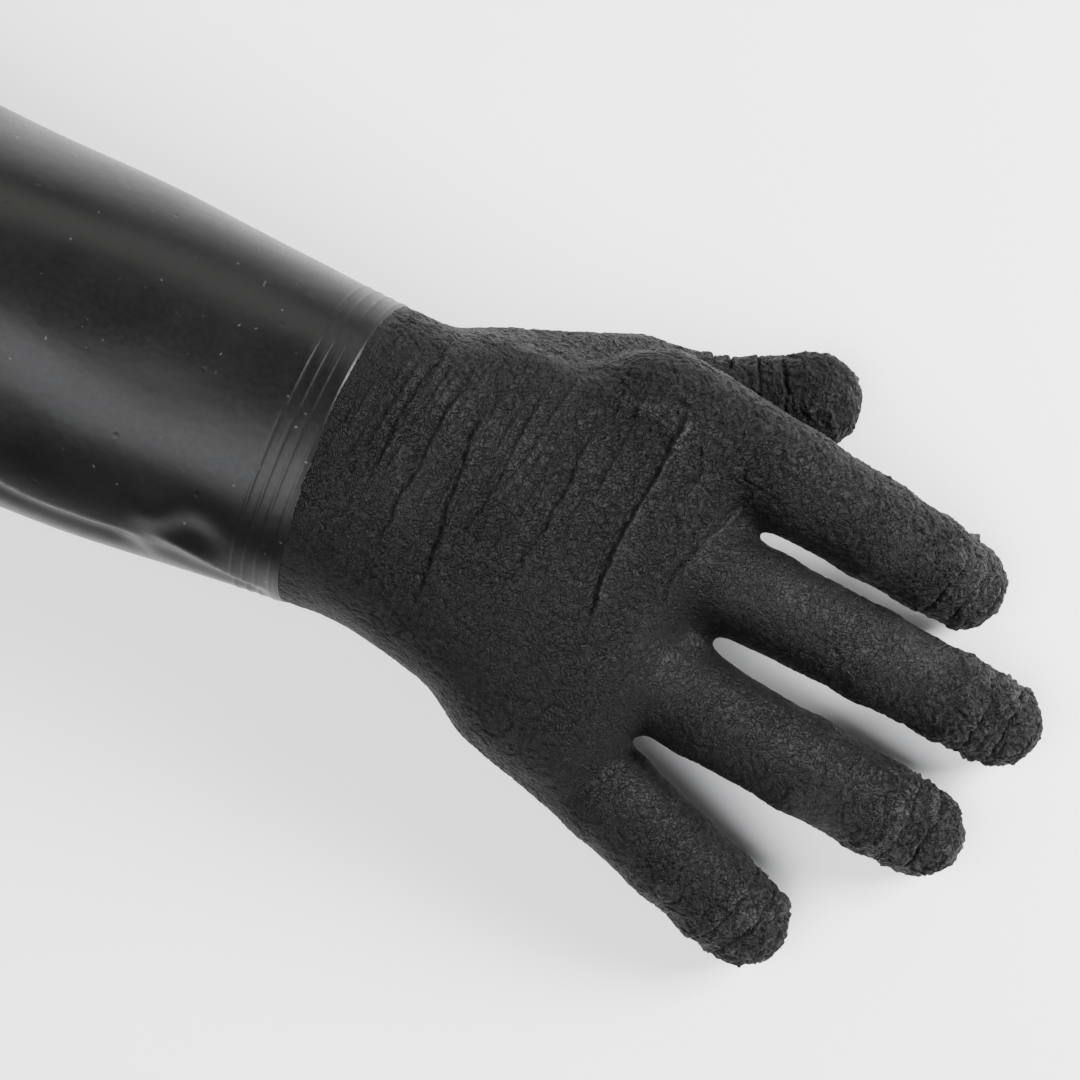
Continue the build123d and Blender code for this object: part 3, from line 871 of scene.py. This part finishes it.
class Nodes:
    """A short way to write a material's node tree."""

    def __init__(self, name):
        self.material = bpy.data.materials.new(name)
        self.material.use_nodes = True
        self.tree = self.material.node_tree
        self.shader = self.tree.nodes["Principled BSDF"]

    def add(self, kind, settings=None, **inputs):
        node = self.tree.nodes.new(kind)
        for key, value in (settings or {}).items():
            setattr(node, key, value)
        for key, value in inputs.items():
            self.set(node, key.replace("_", " "), value)
        return node

    def set(self, node, key, value):
        socket = node.inputs[int(key)] if key.isdigit() else node.inputs[key]
        if isinstance(value, bpy.types.NodeSocket):
            self.tree.links.new(value, socket)
        else:
            socket.default_value = value

    def position(self):
        return self.add("ShaderNodeTexCoord").outputs["Object"]

    def noise(self, scale, detail=4.0, rough=0.6, vector=None):
        node = self.add("ShaderNodeTexNoise", Scale=scale, Detail=detail, Roughness=rough)
        self.set(node, "Vector", vector or self.position())
        return node.outputs["Fac"]

    def ramp(self, value, stops):
        node = self.add("ShaderNodeValToRGB")
        self.set(node, "Fac", value)
        elements = node.color_ramp.elements
        while len(elements) < len(stops):
            elements.new(0.5)
        for element, (place, colour) in zip(elements, stops):
            element.position = place
            element.color = colour if len(colour) == 4 else (*colour, 1)
        return node.outputs["Color"]

    def span(self, value, low, high, new_low, new_high):
        node = self.add("ShaderNodeMapRange")
        for key, number in zip(("From Min", "From Max", "To Min", "To Max"), (low, high, new_low, new_high)):
            self.set(node, key, number)
        self.set(node, "Value", value)
        return node.outputs["Result"]

    def math(self, operation, first, second):
        node = self.add("ShaderNodeMath", {"operation": operation})
        self.set(node, "0", first)
        self.set(node, "1", second)
        return node.outputs[0]

    def attribute(self, name):
        return self.add("ShaderNodeAttribute", {"attribute_name": name}).outputs["Fac"]

    def parted(self, value, width):
        """Flat tops parted by thin winding cracks where a noise crosses its middle value."""
        off = self.math("ABSOLUTE", self.math("SUBTRACT", value, 0.5), 0.0)
        return self.span(off, 0.0, width, 0, 1)

    def bump(self, height, strength, distance, normal=None):
        node = self.add("ShaderNodeBump", Strength=strength, Distance=distance, Height=height)
        if normal:
            self.set(node, "Normal", normal)
        return node.outputs["Normal"]

    def mix(self, share, first, second):
        node = self.add("ShaderNodeMix", {"data_type": "RGBA"})
        self.set(node, "Factor", share)
        # The sockets of a colour mix: its two colours come in at 6 and 7, and the result goes out at 2.
        self.set(node, "6", first)
        self.set(node, "7", second)
        return node.outputs[2]


def grey(level, warmth=0.0):
    return (level * (1 + warmth), level, level * (1 - warmth), 1)


def crinkle_rubber():
    """Matte black rubber with a dry crinkle: tops parted by winding cracks, with a painted highlight on the
    crests and painted shade in the cracks.
    """
    nodes = Nodes("crinkle_rubber")
    position = nodes.position()
    warp = nodes.add("ShaderNodeTexNoise", Scale=260.0, Detail=2.0)
    nodes.set(warp, "Vector", position)
    shift = nodes.add("ShaderNodeVectorMath", {"operation": "SUBTRACT"})
    nodes.set(shift, "0", warp.outputs["Color"])
    nodes.set(shift, "1", (0.5, 0.5, 0.5))
    bent = nodes.add("ShaderNodeVectorMath", {"operation": "MULTIPLY_ADD"})
    nodes.set(bent, "0", shift.outputs[0])
    nodes.set(bent, "1", (0.0022, 0.0022, 0.0022))
    nodes.set(bent, "2", position)
    bent = bent.outputs[0]
    wide = nodes.parted(nodes.noise(430.0, 1.0, 0.5, bent), 0.05)
    narrow = nodes.parted(nodes.noise(850.0, 1.0, 0.5, bent), 0.07)
    fine = nodes.noise(1900.0, 3.0, 0.65, position)
    roughened = nodes.attribute("roughened")
    tops = nodes.math("ADD", nodes.math("MULTIPLY", wide, 0.55), nodes.math("MULTIPLY", narrow, 0.45))
    height = nodes.math("ADD", tops, nodes.math("MULTIPLY", fine, 0.55))
    height = nodes.math("MULTIPLY", height, nodes.span(roughened, 0.2, 0.9, 0.35, 1.0))

    relief = nodes.span(nodes.attribute("relief"), -0.6, 1.3, 0, 1)
    patches = nodes.noise(70.0, 4.0)
    # Painted light: the colour is lighter on the crests of the relief, on the tops and on the fine grain, as
    # a painted highlight, and darker in the cracks, as painted shade. The patches are tone that differs at
    # random.
    tone_and_painted_light = nodes.math("ADD", nodes.math("MULTIPLY", relief, 0.7), nodes.span(tops, 0.2, 1.0, -0.16, 0.2))
    tone_and_painted_light = nodes.math("ADD", tone_and_painted_light, nodes.span(patches, 0.3, 0.7, -0.1, 0.1))
    tone_and_painted_light = nodes.math("ADD", tone_and_painted_light, nodes.span(fine, 0.35, 0.7, -0.12, 0.16))
    # Painted light: the colour grows lighter along x towards the fingers, so the fingers look more brightly
    # lit than the back of the hand.
    parts = nodes.add("ShaderNodeSeparateXYZ")
    nodes.set(parts, "Vector", position)
    tone_and_painted_light = nodes.math("ADD", tone_and_painted_light, nodes.span(parts.outputs["X"], 0.08, 0.15, -0.12, 0.2))
    colour = nodes.ramp(tone_and_painted_light, [
        (0.0, grey(0.0004)), (0.3, grey(0.0013)), (0.6, grey(0.0036)),
        (0.82, grey(0.0095)), (1.0, grey(0.022)),
    ])
    nodes.set(nodes.shader, "Base Color", colour)
    nodes.set(nodes.shader, "Roughness", nodes.span(fine, 0.3, 0.7, 0.45, 0.65))
    nodes.shader.inputs["Specular IOR Level"].default_value = 0.13
    nodes.set(nodes.shader, "Normal", nodes.bump(height, 1.0, 0.0007))
    return nodes.material


def smooth_rubber():
    """Half glossy black rubber with a soft haze, a few pits and specks of dust."""
    nodes = Nodes("smooth_rubber")
    haze = nodes.noise(22.0, 5.0)
    fine = nodes.noise(700.0, 3.0)
    specks = nodes.noise(430.0, 1.0, 0.4)
    speck_mask = nodes.span(specks, 0.76, 0.8, 0, 1)
    base = nodes.ramp(haze, [(0.3, grey(0.002, 0.02)), (0.7, grey(0.0034, 0.03))])
    nodes.set(nodes.shader, "Base Color", nodes.mix(speck_mask, base, grey(0.03, 0.05)))
    rough = nodes.span(haze, 0.3, 0.7, 0.31, 0.4)
    nodes.set(nodes.shader, "Roughness", nodes.math("ADD", rough, nodes.span(fine, 0.3, 0.7, -0.03, 0.04)))
    nodes.shader.inputs["Specular IOR Level"].default_value = 0.15
    pits = nodes.add("ShaderNodeTexVoronoi", Scale=85.0)
    nodes.set(pits, "Vector", nodes.position())
    pit_mask = nodes.span(pits.outputs["Distance"], 0.02, 0.09, 0, 1)
    normal = nodes.bump(pit_mask, 0.25, 0.0004)
    normal = nodes.bump(nodes.noise(60.0, 3.0), 0.12, 0.002, normal)
    nodes.set(nodes.shader, "Normal", nodes.bump(fine, 0.06, 0.0003, normal))
    return nodes.material


def knit(name, pale, dark, scale):
    """A knitted fabric: rows of small interlocked loops, with stray fibres."""
    nodes = Nodes(name)
    bands = {"wave_type": "BANDS", "bands_direction": "X"}
    ribs = nodes.add("ShaderNodeTexWave", bands, Scale=scale, Distortion=1.5)
    ribs.inputs["Detail"].default_value = 2.0
    loops = nodes.add("ShaderNodeTexVoronoi", Scale=scale * 5.0)
    for node in (ribs, loops):
        nodes.set(node, "Vector", nodes.position())
    fibres = nodes.noise(2600.0, 4.0)
    weave = nodes.math("MULTIPLY", nodes.span(ribs.outputs["Fac"], 0, 1, 0.45, 1), nodes.span(
        loops.outputs["Distance"], 0, 0.7, 1, 0.35))
    nodes.set(nodes.shader, "Base Color", nodes.ramp(
        nodes.math("ADD", weave, nodes.span(fibres, 0.3, 0.7, -0.1, 0.1)), [(0.2, dark), (0.85, pale)]))
    nodes.set(nodes.shader, "Roughness", nodes.span(fibres, 0.3, 0.7, 0.82, 0.95))
    nodes.shader.inputs["Sheen Weight"].default_value = 0.3
    normal = nodes.bump(weave, 0.8, 0.0008)
    nodes.set(nodes.shader, "Normal", nodes.bump(fibres, 0.3, 0.0003, normal))
    return nodes.material


def floor_material():
    nodes = Nodes("pale_floor")
    colour = nodes.ramp(nodes.noise(3.0), [(0.3, grey(0.92)), (0.7, grey(0.94))])
    nodes.set(nodes.shader, "Base Color", colour)
    nodes.shader.inputs["Roughness"].default_value = 0.6
    nodes.shader.inputs["Specular IOR Level"].default_value = 0.2
    return nodes.material


# ---------------------------------------------------------------- the studio

FLOOR_REACH = 6000.0


def build_floor():
    corners = FLOOR_REACH * np.array([(-1, -1, 0), (1, -1, 0), (1, 1, 0), (-1, 1, 0)], float)
    floor = make_object("floor", corners, np.array([[0, 1, 2, 3]]), [floor_material()])


def area_light(name, place, target, width, height, power, colour=(1, 1, 1)):
    data = bpy.data.lights.new(name, "AREA")
    data.shape, data.size, data.size_y = "RECTANGLE", width, height
    data.energy, data.color = power, colour
    light = bpy.data.objects.new(name, data)
    light.location = place
    way = np.array(target, float) - np.array(place, float)
    light.rotation_mode = "QUATERNION"
    light.rotation_quaternion = Vector(way).to_track_quat("-Z", "Y")
    bpy.context.scene.collection.objects.link(light)


WORLD_STRENGTH = 0.2


def build_lights():
    """Soft lights, with places and sizes in metres and powers in watts."""
    world = bpy.data.worlds.new("studio")
    bpy.context.scene.world = world
    world.use_nodes = True
    background = world.node_tree.nodes["Background"]
    background.inputs["Color"].default_value = (1, 1, 1, 1)
    background.inputs["Strength"].default_value = WORLD_STRENGTH
    aim = (0.0, 0.0, 0.05)
    area_light("thumb_side_softbox", (-0.45, 1.1, 0.75), aim, 1.6, 0.7, 16.0, (1.0, 0.97, 0.95))
    area_light("overhead_softbox", (-0.1, -0.45, 1.35), aim, 1.6, 0.9, 50.0, (0.96, 0.97, 1.0))
    area_light("fingertip_softbox", (1.0, 0.7, 0.7), aim, 0.6, 0.6, 78.0)


ARM_SLOPE = math.radians(22.7)
CAMERA_LEAN = math.radians(9.0)
CAMERA_DISTANCE = 0.85
CAMERA_LENS = 102.0
CAMERA_SENSOR = 36.0
# The middle of the view, in the glove's own coordinates.
CAMERA_TARGET = (62.2, -1.1, 50.0)


def build_camera():
    """Above the back of the hand, turned so that the arm runs down to the right."""
    target = Vector((ORIGIN + CAMERA_TARGET) / 1000)
    back = Vector((math.sin(CAMERA_LEAN), 0, math.cos(CAMERA_LEAN)))
    along = Vector((math.cos(CAMERA_LEAN), 0, -math.sin(CAMERA_LEAN)))
    side = Vector((0, 1, 0))
    right = along * math.cos(ARM_SLOPE) + side * math.sin(ARM_SLOPE)
    up = -along * math.sin(ARM_SLOPE) + side * math.cos(ARM_SLOPE)
    data = bpy.data.cameras.new("camera")
    data.lens, data.sensor_width = CAMERA_LENS, CAMERA_SENSOR
    camera = bpy.data.objects.new("camera", data)
    turned = Matrix((right, up, back)).transposed().to_4x4()
    camera.matrix_world = Matrix.Translation(target + back * CAMERA_DISTANCE) @ turned
    bpy.context.scene.collection.objects.link(camera)
    bpy.context.scene.camera = camera


# ---------------------------------------------------------------- everything

build_camera()
rubber_rough, rubber_smooth = crinkle_rubber(), smooth_rubber()
liner_knit = knit("liner_knit", (0.55, 0.52, 0.45, 1), (0.25, 0.23, 0.19, 1), 110.0)
hem_tape = knit("hem_tape", (0.33, 0.32, 0.3, 1), (0.12, 0.12, 0.11, 1), 260.0)
stitch_thread = knit("stitch_thread", (0.6, 0.58, 0.52, 1), (0.35, 0.33, 0.3, 1), 500.0)
hand_layer("skin", 0.0, VOXEL, RUBBER, SKIN_START, rubber_rough, finish=crinkle)
hand_layer("liner", -RUBBER - LINER_GAP, LINER_VOXEL, LINER, LINER_START, liner_knit)
build_sleeve(rubber_smooth)
build_sleeve_liner(liner_knit)
build_cuff(rubber_smooth, hem_tape, stitch_thread)
build_floor()
build_lights()
